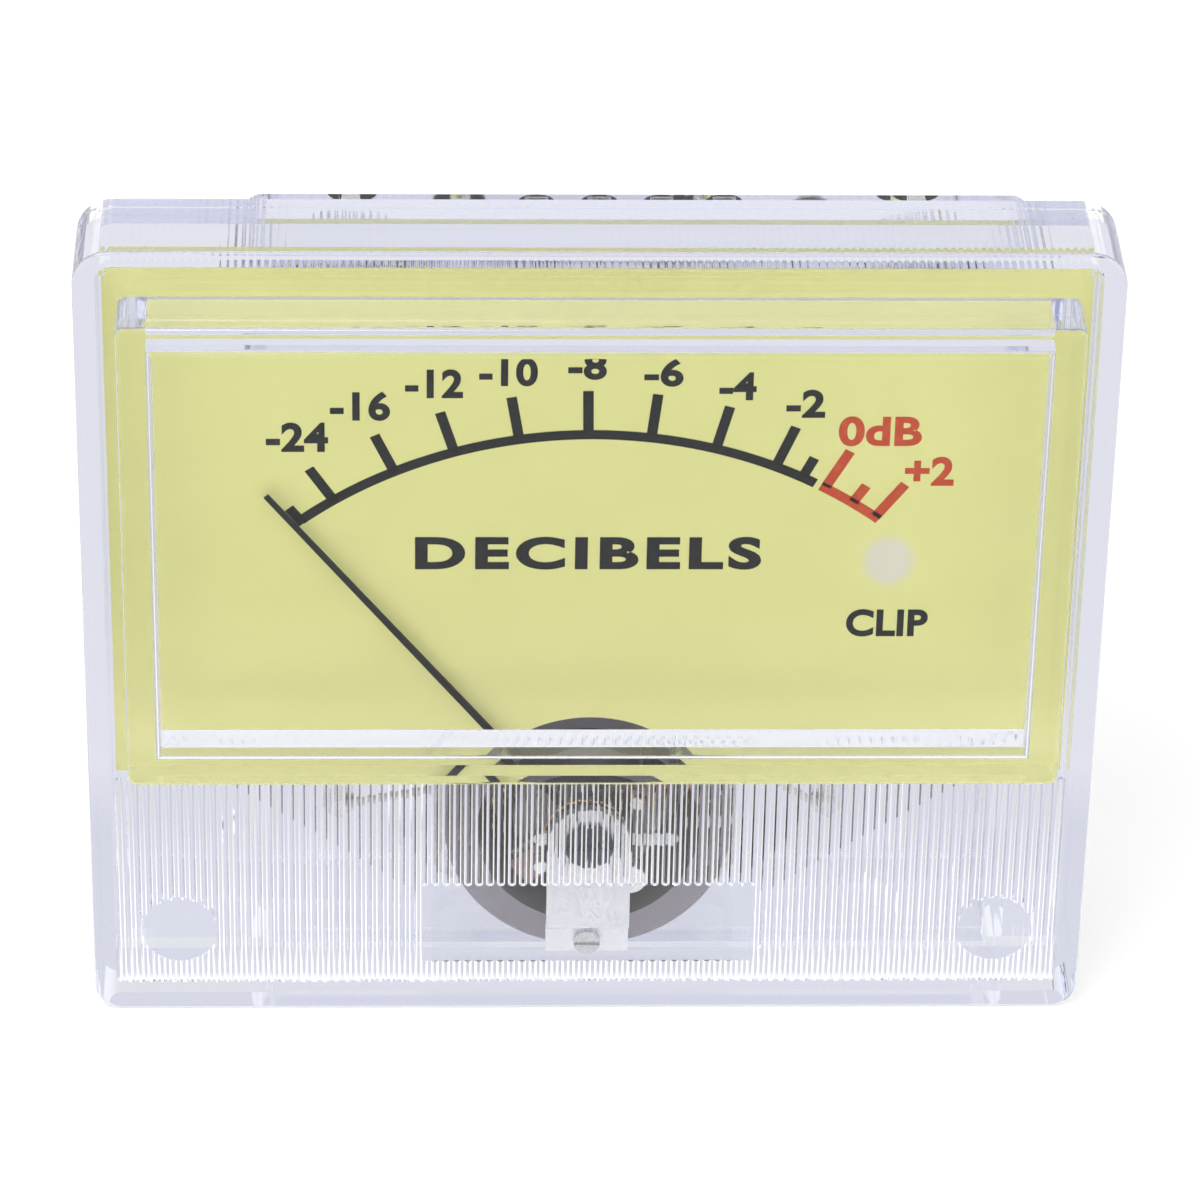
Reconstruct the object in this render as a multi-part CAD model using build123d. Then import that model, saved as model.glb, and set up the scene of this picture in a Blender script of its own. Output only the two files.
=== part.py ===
from build123d import *
import math
import os

# A clear panel meter for audio levels: a moving-coil movement behind a translucent dial,
# in a two-part clear case.
# Millimetres. X to the right, Y away from the viewer, Z up.
# While a piece is made, Y = 0 is the front face of the cover's flange and Z = 0 the case bottom.
# Before a piece is written it is moved so that the origin is the bottom centre of the whole meter.

# Front cover, a shallow clear box
cover_width = 55.0
cover_height = 48.2
cover_depth = 5.9
cover_top_corner = 2.0
cover_bottom_corner = 1.5
cover_edge_round = 0.2
cover_front_wall = 1.0
cover_side_wall = 1.15
cover_top_wall = 1.2
cover_bottom_wall = 1.4

# Raised window block on the cover
window_side_margin = 2.35
window_top_margin = 2.6
window_bottom = 17.3
window_rise = 3.5
window_side_wall = 1.5
window_top_wall = 1.8
window_bottom_wall = 1.1
window_pane = 1.4
window_corner = 0.5
window_edge_round = 0.3
window_room_round = 0.4

# Light-scattering ribs inside the lower front wall
rib_pitch = 0.61
rib_base = 0.46
rib_tip = 0.16
rib_height = 0.25
rib_side_gap = 0.05
rib_top_gap = 2.3
pad_radius = 2.1
pad_side_inset = 4.75
pad_centre_z = 4.9
plate_width = 18.5
plate_height = 5.15
plate_bottom = 2.75

# Dial plate
dial_gap = 2.6
dial_thickness = 0.6
dial_side_gap = 0.2
dial_notch_radius = 7.2
dial_notch_top = 17.5
dial_top_gap = 1.45
dial_bottom = 13.9

# Rear case with a flange that closes the cover
flange_gap = 0.1
seat_gap = 0.04
body_width = 42.6
body_offset_x = 2.4
body_top_drop = 4.0
body_rear = 14.0
body_wall = 1.2
body_bottom_wall = 1.9
body_rear_wall = 1.0
body_corner = 1.0

# Movement axis and swing
pivot_z = 10.2
rest_angle = -38.9
swing_angle = 79.0

# Yoke ring and magnet core
yoke_radius = 8.0
yoke_bore = 6.2
yoke_front = 3.3
yoke_length = 6.8
yoke_edge = 0.25
yoke_step_gap = 0.3
core_radius = 4.2
core_length = 4.4
core_edge = 0.3

# Coil
coil_core_gap = 0.3
former_wall = 0.2
former_width = 2.2
former_corner = 0.1
winding_thickness = 0.5
winding_width = 1.8
winding_corner = 0.3

# Movement chassis
chassis_width = 17.4
chassis_top_rise = 8.8
chassis_bottom_gap = 0.35
chassis_thickness = 0.8
chassis_corner = 1.5
chassis_bore = 1.8
core_post_radius = 0.8
core_post_reach = 3.0
boss_radius = 1.5
boss_inset_x = 1.6
boss_inset_z = 1.9

# Pointer, hub and weights
pointer_plane = 2.95
pointer_thickness = 0.15
pointer_length = 28.1
pointer_root_width = 0.46
pointer_tip_width = 0.3
tail_length = 4.2
tail_width = 0.7
arm_length = 3.9
arm_width = 0.5
hub_radius = 1.1
collet_radius = 0.55
collet_length = 0.3
tail_weight_radius = 0.86
tail_weight_reach = 3.8
tail_weight_front = 2.6
arm_weight_radius = 0.4
arm_weight_reach = 3.4
weight_coil_gap = 0.05

# Pivots, jewels and jewel screws
staff_radius = 0.3
pivot_tip_radius = 0.09
pivot_tip_length = 0.3
pivot_base_radius = 1.2
pivot_base_thickness = 0.3
pivot_jewel_gap = 0.03
pivot_end_gap = 0.05
jewel_radius = 0.45
jewel_length = 0.45
jewel_cup_depth = 0.3
jewel_screw_radius = 0.8
screw_hole_gap = 0.03
front_head_radius = 1.35
front_head_thickness = 0.3
slot_width = 0.3
slot_depth = 0.15

# Front bridge strap
bridge_front = 1.7
bridge_thickness = 0.5
bridge_width = 4.65
bridge_bend = 0.4
bridge_step_z = 4.9
bridge_foot_bottom = 2.3

# Rear bridge
rear_bridge_gap = 0.7
rear_bridge_width = 3.6
rear_bridge_reach = 5.2
rear_bridge_overhang = 1.3
rear_bridge_corner = 1.1
pillar_radius = 1.1
lock_nut_flats = 2.6
lock_nut_sides = 6
lock_nut_thickness = 0.35
rear_screw_stub = 0.5
rear_screw_reach = 0.3

# Hairsprings and the zero lever
spring_wire = 0.16
spring_step = 0.3
spring_half_turns = 6
spring_check_points = 24
lever_gap = 0.05
lever_thickness = 0.25
lever_ring_radius = 1.6
lever_arm_width = 0.8
lever_arm_reach = 4.6
lever_pin_radius = 0.18
anchor_radius = 0.22

# Small screws
screw_radius = 0.5
screw_head_radius = 0.75
screw_head_thickness = 0.4
case_screw_head_radius = 1.1
case_screw_head_thickness = 0.6
case_screw_hole_depth = 2.2
screw_hole_depth = 1.2
screw_end_gap = 0.2

# Pointer stops
stop_radius = 0.35
stop_reach = 6.65
stop_clearance = 0.04

# Lamp board and lamps
board_thickness = 1.0
board_front = 7.0
board_side_gap = 2.1
board_top_gap = 3.0
board_chassis_gap = 2.5
board_post_radius = 1.3
board_post_inset = 2.4
overload_x = 16.0
overload_z = 27.6
overload_width = 2.7
overload_height = 3.1
overload_dial_gap = 0.1
overload_corner = 0.35
backlight_count = 3
backlight_spacing = 8.5
backlight_drop = 3.5
backlight_size = 3.0
backlight_thickness = 1.1
backlight_dome = 1.2

# Terminals
terminal_radius = 0.5
terminal_root_side = 1.2
terminal_hole_gap = 0.05
terminal_reach = 4.0
terminal_tip_chamfer = 0.2
terminal_collar_radius = 1.0
terminal_collar_thickness = 0.6
meter_terminal_x = 14.0
meter_terminal_z = 6.0
meter_terminal_inner = 1.6
lamp_terminal_count = 4
lamp_terminal_pitch = 3.5
lamp_terminal_drop = 5.5

# Movement leads, from the movement's back to its two terminals
lead_diameter = 0.5
lead_clearance = 0.05
lead_bend_share = 0.45
# Each row is one bend, as its share of the way across, down and back
left_lead_bends = ((0.25, 0.55, 0.45), (0.6, 0.8, 1.0))
right_lead_bends = ((0.35, 0.2, 0.25), (0.68, 0.7, 0.45))

# How near to a plane an edge lies to be taken as in it
edge_tolerance = 0.001

# Places worked out from the sizes above
half_width = cover_width / 2
inner_half_width = half_width - cover_side_wall
inner_top = cover_height - cover_top_wall
window_half_width = half_width - window_side_margin
window_top = cover_height - window_top_margin
rib_front = cover_front_wall
rib_rear = cover_front_wall + rib_height
rib_root = cover_front_wall - rib_height
rib_field_half_width = half_width - cover_side_wall - rib_side_gap
rib_field_top = window_bottom - rib_top_gap
pad_centre_x = half_width - pad_side_inset
dial_front = cover_front_wall + dial_gap
dial_rear = dial_front + dial_thickness
dial_half_width = inner_half_width - dial_side_gap
dial_top = inner_top - dial_top_gap
flange_front = dial_rear + seat_gap
flange_rear = cover_depth + seat_gap
body_left = body_offset_x - body_width / 2
body_right = body_offset_x + body_width / 2
body_top = cover_height - body_top_drop
cavity_left = body_left + body_wall
cavity_right = body_right - body_wall
cavity_top = body_top - body_wall
cavity_rear = body_rear - body_rear_wall
yoke_rear = yoke_front + yoke_length
yoke_step_front = dial_rear + seat_gap
yoke_step_bottom = dial_bottom - yoke_step_gap
core_front = (yoke_front + yoke_rear - core_length) / 2
core_rear = core_front + core_length
coil_inner_radius = core_radius + coil_core_gap
former_outer_radius = coil_inner_radius + former_wall
winding_radius = former_outer_radius + winding_thickness
former_front = core_front - coil_core_gap - former_wall
former_rear = core_rear + coil_core_gap + former_wall
winding_front = former_front - winding_thickness
winding_rear = former_rear + winding_thickness
chassis_front = yoke_rear
chassis_rear = chassis_front + chassis_thickness
chassis_bottom = body_bottom_wall + chassis_bottom_gap
chassis_top = pivot_z + chassis_top_rise
pointer_front = pointer_plane - pointer_thickness / 2
pointer_rear = pointer_plane + pointer_thickness / 2
bridge_rear = bridge_front + bridge_thickness
foot_front = yoke_front - bridge_thickness
lever_front = bridge_rear + lever_gap
lever_rear = lever_front + lever_thickness
jewel_screw_end = lever_rear
front_tip_end = jewel_screw_end - jewel_cup_depth + pivot_end_gap
front_spring_y = pointer_front - collet_length / 2
spring_inner_radius = collet_radius + spring_wire / 2
spring_outer_radius = spring_inner_radius + spring_half_turns * spring_step
rear_bridge_front = chassis_rear + rear_bridge_gap
rear_bridge_rear = rear_bridge_front + bridge_thickness
rear_screw_front = rear_bridge_front - rear_screw_reach
rear_screw_rear = rear_bridge_rear + rear_screw_stub
rear_tip_end = rear_screw_front + jewel_cup_depth - pivot_end_gap
rear_spring_y = chassis_rear + collet_length / 2
yoke_mean_radius = (yoke_radius + yoke_bore) / 2
foot_screw_z = pivot_z - yoke_mean_radius
lever_pin_x = -(spring_outer_radius + spring_wire / 2 + lever_pin_radius)
anchor_x = -(spring_outer_radius + spring_wire / 2 + anchor_radius)
board_rear = board_front + board_thickness
board_left = cavity_left + board_side_gap
board_right = cavity_right - board_side_gap
board_bottom = chassis_top + board_chassis_gap
board_top = cavity_top - board_top_gap
backlight_z = board_top - backlight_drop
lamp_terminal_z = backlight_z - lamp_terminal_drop
terminal_end = body_rear + terminal_reach
overall_front = -window_rise
overall_rear = terminal_end
origin_y = (overall_front + overall_rear) / 2


def block(x0, x1, y0, y1, z0, z1):
    """A box between two corners."""
    middle = Pos((x0 + x1) / 2, (y0 + y1) / 2, (z0 + z1) / 2)
    return middle * Box(x1 - x0, y1 - y0, z1 - z0)


def rod(x, z, y0, y1, radius):
    """A round bar along Y."""
    return Pos(x, (y0 + y1) / 2, z) * Rot(90, 0, 0) * Cylinder(radius, y1 - y0)


def face_plane(y):
    """A drawing plane that faces the viewer, whose own axes are X and Z."""
    return Plane(origin=(0, y, 0), x_dir=(1, 0, 0), z_dir=(0, -1, 0))


def slab(sketch, y0, y1):
    """A flat outline in X and Z, made solid from y0 back to y1."""
    return extrude(face_plane(y0) * sketch, amount=y0 - y1)


def rounded_slab(x0, x1, y0, y1, z0, z1, corner):
    """A plate with four equal round corners."""
    outline = Pos((x0 + x1) / 2, (z0 + z1) / 2) * RectangleRounded(x1 - x0, z1 - z0, corner)
    return slab(outline, y0, y1)


def in_swing(shape):
    """Turn a piece drawn with the pointer straight up, its axis at X = Z = 0, to its rest place."""
    return Pos(0, 0, pivot_z) * Rot(0, rest_angle, 0) * shape


def front_edges(shape, y):
    """The edges of a shape that lie in the plane at y."""
    return shape.edges().filter_by_position(Axis.Y, y - edge_tolerance, y + edge_tolerance)


def cover_outline(inset, top_corner, bottom_corner, bottom_inset, top_inset):
    """The cover's outline, drawn in by given insets."""
    height = cover_height - bottom_inset - top_inset
    outline = Pos(0, bottom_inset + height / 2) * Rectangle(cover_width - 2 * inset, height)
    corners = outline.vertices().sort_by(Axis.Y)
    outline = fillet(corners[:2], bottom_corner)
    corners = outline.vertices().group_by(Axis.Y)[-1]
    return fillet(corners, top_corner)


def rib_field():
    """Upright ribs with sloping sides on the back of the lower front wall, with smooth pads left in."""
    count = int(2 * rib_field_half_width / rib_pitch)
    first = -(count - 1) * rib_pitch / 2
    teeth = []
    for index in range(count):
        x = first + index * rib_pitch
        teeth.append((x - rib_base / 2, rib_front))
        teeth.append((x - rib_tip / 2, rib_rear))
        teeth.append((x + rib_tip / 2, rib_rear))
        teeth.append((x + rib_base / 2, rib_front))
    outline = [(teeth[0][0], rib_root)] + teeth + [(teeth[-1][0], rib_root)]
    section = make_face(Polyline(*outline, close=True))
    field = extrude(Pos(0, 0, cover_bottom_wall) * section, amount=rib_field_top - cover_bottom_wall)
    for side in (-1, 1):
        field += rod(side * pad_centre_x, pad_centre_z, rib_root, rib_rear, pad_radius)
    plate_top = plate_bottom + plate_height
    field += block(-plate_width / 2, plate_width / 2, rib_root, rib_rear, plate_bottom, plate_top)
    return field


def make_front_cover():
    """Clear box, open at the back, with the raised window block and the ribs."""
    body = slab(cover_outline(0, cover_top_corner, cover_bottom_corner, 0, 0), 0, cover_depth)
    body = fillet(front_edges(body, 0), cover_edge_round)
    half = window_half_width
    room_front = window_pane - window_rise
    raised = rounded_slab(-half, half, -window_rise, cover_front_wall / 2, window_bottom, window_top,
                          window_corner)
    raised = fillet(front_edges(raised, -window_rise), window_edge_round)
    inner_top_corner = cover_top_corner - cover_side_wall
    inner_bottom_corner = max(cover_bottom_corner - cover_side_wall, cover_edge_round / 2)
    room_outline = cover_outline(cover_side_wall, inner_top_corner, inner_bottom_corner,
                                 cover_bottom_wall, cover_top_wall)
    room = slab(room_outline, cover_front_wall, cover_depth)
    window_room = block(-half + window_side_wall, half - window_side_wall, room_front, cover_front_wall,
                        window_bottom + window_bottom_wall, window_top - window_top_wall)
    window_room = fillet(front_edges(window_room, room_front), window_room_round)
    cover = body + raised - room - window_room
    return cover + rib_field()


def boss_places():
    """Centres of the four screws that hold the chassis to the case."""
    reach = chassis_width / 2 - boss_inset_x
    low = chassis_bottom + boss_inset_z
    high = chassis_top - boss_inset_z
    return [(x, z) for x in (-reach, reach) for z in (low, high)]


def board_places():
    """Centres of the four posts that carry the lamp board."""
    columns = (board_left + board_post_inset, board_right - board_post_inset)
    rows = (board_bottom + board_post_inset, board_top - board_post_inset)
    return [(x, z) for x in columns for z in rows]


def lamp_terminal_places():
    """Centres of the lamp terminals, in a row."""
    first = body_offset_x - (lamp_terminal_count - 1) * lamp_terminal_pitch / 2
    return [(first + index * lamp_terminal_pitch, lamp_terminal_z) for index in range(lamp_terminal_count)]


def meter_terminal_places():
    """Centres of the two terminals of the movement."""
    return [(-meter_terminal_x, meter_terminal_z), (meter_terminal_x, meter_terminal_z)]


def terminal_root(x, z, clearance):
    """Square part of a terminal inside the rear wall, grown by a clearance, which keeps it from turning."""
    half = terminal_root_side / 2 + clearance
    return block(x - half, x + half, cavity_rear, body_rear, z - half, z + half)


def make_rear_case():
    """Clear rear box with a flange inside the cover, bosses for the movement and posts for the board."""
    side = cover_side_wall + flange_gap
    flange_outline = cover_outline(side, cover_top_corner - cover_side_wall, cover_edge_round / 2,
                                   cover_bottom_wall + flange_gap, cover_top_wall + flange_gap)
    case = slab(flange_outline, flange_front, flange_rear)
    case += rounded_slab(body_left, body_right, flange_rear, body_rear, 0, body_top, body_corner)
    case -= block(cavity_left, cavity_right, flange_front, cavity_rear, body_bottom_wall, cavity_top)
    for x, z in boss_places():
        case += rod(x, z, chassis_rear, cavity_rear + body_rear_wall / 2, boss_radius)
        case -= rod(x, z, chassis_rear, chassis_rear + case_screw_hole_depth, screw_radius + screw_hole_gap)
    for x, z in board_places():
        case += rod(x, z, board_rear, cavity_rear + body_rear_wall / 2, board_post_radius)
        case -= rod(x, z, board_rear, board_rear + case_screw_hole_depth, screw_radius + screw_hole_gap)
    for x, z in lamp_terminal_places() + meter_terminal_places():
        case -= terminal_root(x, z, terminal_hole_gap)
    return case


def make_dial_plate():
    """Translucent sheet that lies on the yoke ring's step, with a round notch for the moving coil."""
    sheet = block(-dial_half_width, dial_half_width, dial_front, dial_rear, dial_bottom, dial_top)
    return sheet - rod(0, dial_notch_top - dial_notch_radius, dial_front, dial_rear, dial_notch_radius)


def make_yoke_ring():
    """Soft-iron ring that closes the magnet's field, with a step behind the dial and its screw holes."""
    ring = rod(0, pivot_z, yoke_front, yoke_rear, yoke_radius)
    ring = chamfer(front_edges(ring, yoke_front) + front_edges(ring, yoke_rear), yoke_edge)
    ring -= rod(0, pivot_z, yoke_front, yoke_rear, yoke_bore)
    ring -= block(-yoke_radius, yoke_radius, yoke_front, yoke_step_front, yoke_step_bottom,
                  pivot_z + yoke_radius)
    for side in (-1, 1):
        ring -= rod(side * yoke_mean_radius, pivot_z, yoke_rear - screw_hole_depth, yoke_rear,
                    screw_radius + screw_hole_gap)
    ring -= rod(0, foot_screw_z, yoke_front, yoke_front + screw_hole_depth, screw_radius + screw_hole_gap)
    return ring


def make_magnet_core():
    """Round magnet inside the coil."""
    core = rod(0, pivot_z, core_front, core_rear, core_radius)
    return chamfer(front_edges(core, core_front) + front_edges(core, core_rear), core_edge)


def make_chassis():
    """Plate behind the yoke ring, with two posts that carry the core past the coil's ends."""
    half = chassis_width / 2
    plate = rounded_slab(-half, half, chassis_front, chassis_rear, chassis_bottom, chassis_top,
                         chassis_corner)
    plate -= rod(0, pivot_z, chassis_front, chassis_rear, chassis_bore)
    for side in (-1, 1):
        z = pivot_z + side * core_post_reach
        plate += rod(0, z, core_rear, chassis_front + chassis_thickness / 2, core_post_radius)
        plate -= rod(side * yoke_mean_radius, pivot_z, chassis_front, chassis_rear,
                     screw_radius + screw_hole_gap)
        plate -= rod(0, pivot_z + side * rear_bridge_reach, chassis_front, chassis_rear,
                     screw_radius + screw_hole_gap)
    for x, z in boss_places():
        plate -= rod(x, z, chassis_front, chassis_rear, screw_radius + screw_hole_gap)
    return plate


def frame_ring(inner_radius, outer_radius, front, rear, wall, width, corner):
    """A rectangular frame round the core, as wide as given, drawn at the axis."""
    outer = block(-outer_radius, outer_radius, front, rear, -width / 2, width / 2)
    outer = fillet(outer.edges().filter_by(Axis.Z), corner)
    return outer - block(-inner_radius, inner_radius, front + wall, rear - wall, -width / 2, width / 2)


def make_coil_former():
    """Thin aluminium frame that damps the swing."""
    former = frame_ring(coil_inner_radius, former_outer_radius, former_front, former_rear, former_wall,
                        former_width, former_corner)
    return in_swing(former)


def make_coil_winding():
    """The winding, a closed band of fine wire on the former."""
    band = frame_ring(former_outer_radius, winding_radius, winding_front, winding_rear,
                      winding_thickness, winding_width, winding_corner)
    return in_swing(band)


def make_pointer():
    """Flat tapering blade with a tail and two cross arms, in one sheet."""
    blade = Polyline(
        (-pointer_root_width / 2, 0),
        (-pointer_tip_width / 2, pointer_length),
        (pointer_tip_width / 2, pointer_length),
        (pointer_root_width / 2, 0),
        close=True,
    )
    outline = make_face(blade)
    outline += Pos(0, -tail_length / 2) * Rectangle(tail_width, tail_length)
    outline += Rectangle(2 * arm_length, arm_width)
    outline += Circle(hub_radius)
    outline -= Circle(collet_radius + screw_hole_gap)
    return in_swing(slab(outline, pointer_front, pointer_rear))


def make_pointer_hub():
    """Boss between the winding and the pointer, with the collet that holds the hairspring."""
    hub = rod(0, 0, pointer_rear, winding_front, hub_radius)
    hub += rod(0, 0, pointer_front - collet_length, winding_front, collet_radius)
    hub -= rod(0, 0, pointer_front - collet_length, winding_front, staff_radius)
    return in_swing(hub)


def make_balance_weights():
    """Round weights on the tail and on both cross arms, each slotted over the sheet."""
    rear = winding_front - weight_coil_gap
    tail = block(-tail_width / 2, tail_width / 2, pointer_front, pointer_rear, -tail_length, 0)
    arms = block(-arm_length, arm_length, pointer_front, pointer_rear, -arm_width / 2, arm_width / 2)
    weights = [rod(0, -tail_weight_reach, tail_weight_front, rear, tail_weight_radius) - tail]
    for side in (-1, 1):
        weights.append(rod(side * arm_weight_reach, 0, tail_weight_front, rear, arm_weight_radius) - arms)
    return Compound(children=[in_swing(weight) for weight in weights])


def make_front_pivot():
    """Staff in the hub, with a fine tip in the front jewel."""
    shoulder = front_tip_end + pivot_tip_length
    staff = rod(0, 0, shoulder, winding_front, staff_radius)
    tip = rod(0, 0, front_tip_end, shoulder, pivot_tip_radius)
    return in_swing(staff + tip)


def make_rear_pivot():
    """Staff on the back of the winding, with a base, a spring collet and a fine tip."""
    shoulder = rear_tip_end - pivot_tip_length
    base = rod(0, 0, winding_rear, winding_rear + pivot_base_thickness, pivot_base_radius)
    staff = rod(0, 0, winding_rear, shoulder, staff_radius)
    collet = rod(0, 0, rear_spring_y - collet_length / 2, rear_spring_y + collet_length / 2, collet_radius)
    tip = rod(0, 0, shoulder, rear_tip_end, pivot_tip_radius)
    return in_swing(base + staff + collet + tip)


def make_jewel_screw(head_end, shank_end, head_radius, head_thickness):
    """Slotted screw along the axis, with a bore for the jewel at the end that meets the pivot."""
    inward = 1 if shank_end > head_end else -1
    head_inner = head_end + inward * head_thickness
    ends = sorted((head_inner, shank_end))
    head_ends = sorted((head_end, head_inner))
    screw = rod(0, pivot_z, ends[0], ends[1], jewel_screw_radius)
    screw += rod(0, pivot_z, head_ends[0], head_ends[1], head_radius)
    bore = sorted((shank_end, shank_end - inward * jewel_length))
    screw -= rod(0, pivot_z, bore[0], bore[1], jewel_radius)
    slot = sorted((head_end, head_end + inward * slot_depth))
    wide = head_radius + slot_width
    screw -= block(-wide, wide, slot[0], slot[1], pivot_z - slot_width / 2, pivot_z + slot_width / 2)
    return screw


def make_jewel(mouth, inward):
    """Synthetic stone with a blind hole that faces the pivot."""
    ends = sorted((mouth, mouth - inward * jewel_length))
    hole = sorted((mouth, mouth - inward * jewel_cup_depth))
    stone = rod(0, pivot_z, ends[0], ends[1], jewel_radius)
    return stone - rod(0, pivot_z, hole[0], hole[1], pivot_tip_radius + pivot_jewel_gap)


def make_front_bridge():
    """Strap with a round head about the jewel screw, stepped back to a foot on the yoke ring."""
    half = bridge_width / 2
    head = Pos(0, pivot_z) * Circle(half)
    leg_bottom = bridge_step_z
    head += Pos(0, (pivot_z + leg_bottom) / 2) * Rectangle(bridge_width, pivot_z - leg_bottom)
    strap = slab(head, bridge_front, bridge_rear)
    strap += block(-half, half, bridge_front, yoke_front, leg_bottom - bridge_thickness, leg_bottom)
    strap += block(-half, half, foot_front, yoke_front, bridge_foot_bottom, leg_bottom)
    outer_bend = strap.edges().filter_by(Axis.X).sort_by(Axis.Y)
    front_low = [edge for edge in outer_bend if edge.center().Z < leg_bottom][0]
    strap = fillet(front_low, bridge_bend)
    strap -= rod(0, pivot_z, bridge_front, bridge_rear, jewel_screw_radius + screw_hole_gap)
    strap -= rod(0, foot_screw_z, foot_front, yoke_front, screw_radius + screw_hole_gap)
    return strap


def make_rear_bridge():
    """Flat strap across the back, on two pillars."""
    half = rear_bridge_width / 2
    reach = rear_bridge_reach + rear_bridge_overhang
    strap = rounded_slab(-half, half, rear_bridge_front, rear_bridge_rear, pivot_z - reach,
                         pivot_z + reach, rear_bridge_corner)
    strap -= rod(0, pivot_z, rear_bridge_front, rear_bridge_rear, jewel_screw_radius + screw_hole_gap)
    for side in (-1, 1):
        strap -= rod(0, pivot_z + side * rear_bridge_reach, rear_bridge_front, rear_bridge_rear,
                     screw_radius + screw_hole_gap)
    return strap


def make_bridge_pillars():
    """Two spacers between the chassis and the rear bridge."""
    pillars = []
    for side in (-1, 1):
        z = pivot_z + side * rear_bridge_reach
        spacer = rod(0, z, chassis_rear, rear_bridge_front, pillar_radius)
        spacer -= rod(0, z, chassis_rear, rear_bridge_front, screw_radius + screw_hole_gap)
        pillars.append(spacer)
    return Compound(children=pillars)


def slotted_screw(x, z, head_end, inner_end, head_radius, head_thickness):
    """A small cheese-head screw along Y, its head at head_end and its point at inner_end."""
    inward = 1 if inner_end > head_end else -1
    under_head = head_end + inward * head_thickness
    head = sorted((head_end, under_head))
    shank = sorted((under_head, inner_end))
    slot = sorted((head_end, head_end + inward * slot_depth))
    screw = rod(x, z, head[0], head[1], head_radius) + rod(x, z, shank[0], shank[1], screw_radius)
    return screw - block(x - head_radius, x + head_radius, slot[0], slot[1], z - slot_width / 2,
                         z + slot_width / 2)


def make_bridge_screws():
    """One screw through the front bridge's foot and two through the rear bridge."""
    foot_screw_end = yoke_front + screw_hole_depth - screw_end_gap
    screws = [slotted_screw(0, foot_screw_z, foot_front - screw_head_thickness, foot_screw_end,
                            screw_head_radius, screw_head_thickness)]
    for side in (-1, 1):
        z = pivot_z + side * rear_bridge_reach
        screws.append(slotted_screw(0, z, rear_bridge_rear + screw_head_thickness, chassis_front,
                                    screw_head_radius, screw_head_thickness))
    return Compound(children=screws)


def make_yoke_screws():
    """Two screws through the chassis into the yoke ring."""
    screws = []
    inner_end = yoke_rear - screw_hole_depth + screw_end_gap
    for side in (-1, 1):
        screws.append(slotted_screw(side * yoke_mean_radius, pivot_z, chassis_rear + screw_head_thickness,
                                    inner_end, screw_head_radius, screw_head_thickness))
    return Compound(children=screws)


def make_chassis_screws():
    """Four screws through the chassis into the case bosses."""
    screws = []
    inner_end = chassis_rear + case_screw_hole_depth - screw_end_gap
    for x, z in boss_places():
        screws.append(slotted_screw(x, z, chassis_front - case_screw_head_thickness, inner_end,
                                    case_screw_head_radius, case_screw_head_thickness))
    return Compound(children=screws)


def make_board_screws():
    """Four screws through the lamp board into its posts."""
    screws = []
    inner_end = board_rear + case_screw_hole_depth - screw_end_gap
    for x, z in board_places():
        screws.append(slotted_screw(x, z, board_front - case_screw_head_thickness, inner_end,
                                    case_screw_head_radius, case_screw_head_thickness))
    return Compound(children=screws)


def make_rear_lock_nut():
    """Hexagon nut that locks the rear jewel screw."""
    outline = Pos(0, pivot_z) * RegularPolygon(lock_nut_flats / 2, lock_nut_sides,
                                                 major_radius=False)
    outline -= Pos(0, pivot_z) * Circle(jewel_screw_radius + screw_hole_gap)
    return slab(outline, rear_bridge_rear, rear_bridge_rear + lock_nut_thickness)


def make_zero_lever():
    """Ring on the front jewel screw, with the adjusting arm and the pin for the hairspring."""
    outline = Circle(lever_ring_radius)
    for reach in (lever_arm_reach, lever_pin_x):
        outline += Pos(reach / 2, 0) * Rectangle(abs(reach), lever_arm_width)
        outline += Pos(reach, 0) * Circle(lever_arm_width / 2)
    outline -= Circle(jewel_screw_radius + screw_hole_gap)
    lever = slab(outline, lever_front, lever_rear)
    lever += rod(lever_pin_x, 0, lever_rear, front_spring_y + spring_wire / 2, lever_pin_radius)
    return Pos(0, 0, pivot_z) * lever


def spiral_path(y):
    """A flat spiral of half circles about the axis, from the collet out to its anchor on the left."""
    plane = face_plane(y)
    arcs = []
    for index in range(spring_half_turns):
        inner = spring_inner_radius + index * spring_step
        outer = inner + spring_step
        side = -1 if index % 2 == 0 else 1
        centre_x = side * (inner - outer) / 2
        radius = (inner + outer) / 2
        start_angle = 180 if side < 0 else 0
        arcs.append(CenterArc((centre_x, 0), radius, start_angle, 180))
    return plane * Wire(arcs)


def spring_gap():
    """Least free distance between neighbouring turns, measured on points of the path."""
    points = []
    for index in range(spring_half_turns):
        inner = spring_inner_radius + index * spring_step
        side = -1 if index % 2 == 0 else 1
        centre_x = -side * spring_step / 2
        radius = inner + spring_step / 2
        for step in range(spring_check_points):
            angle = math.radians((180 if side < 0 else 0) + 180 * step / spring_check_points)
            points.append((index * spring_check_points + step, centre_x + radius * math.cos(angle),
                           radius * math.sin(angle)))
    least = None
    for order_a, xa, za in points:
        for order_b, xb, zb in points:
            if order_b - order_a < spring_check_points:
                continue
            distance = math.hypot(xb - xa, zb - za) - spring_wire
            if least is None or distance < least:
                least = distance
    return least


def make_hairspring(y):
    """Flat spiral spring between the moving collet and its fixed anchor."""
    path = spiral_path(y)
    start = path.position_at(0)
    section = Plane(origin=start, z_dir=path.tangent_at(0)) * Circle(spring_wire / 2)
    return Pos(0, 0, pivot_z) * sweep(section, path=path)


def make_rear_spring_anchor():
    """Small post on the chassis that holds the outer end of the rear hairspring."""
    return rod(anchor_x, pivot_z, chassis_rear, rear_spring_y + spring_wire, anchor_radius)


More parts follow.
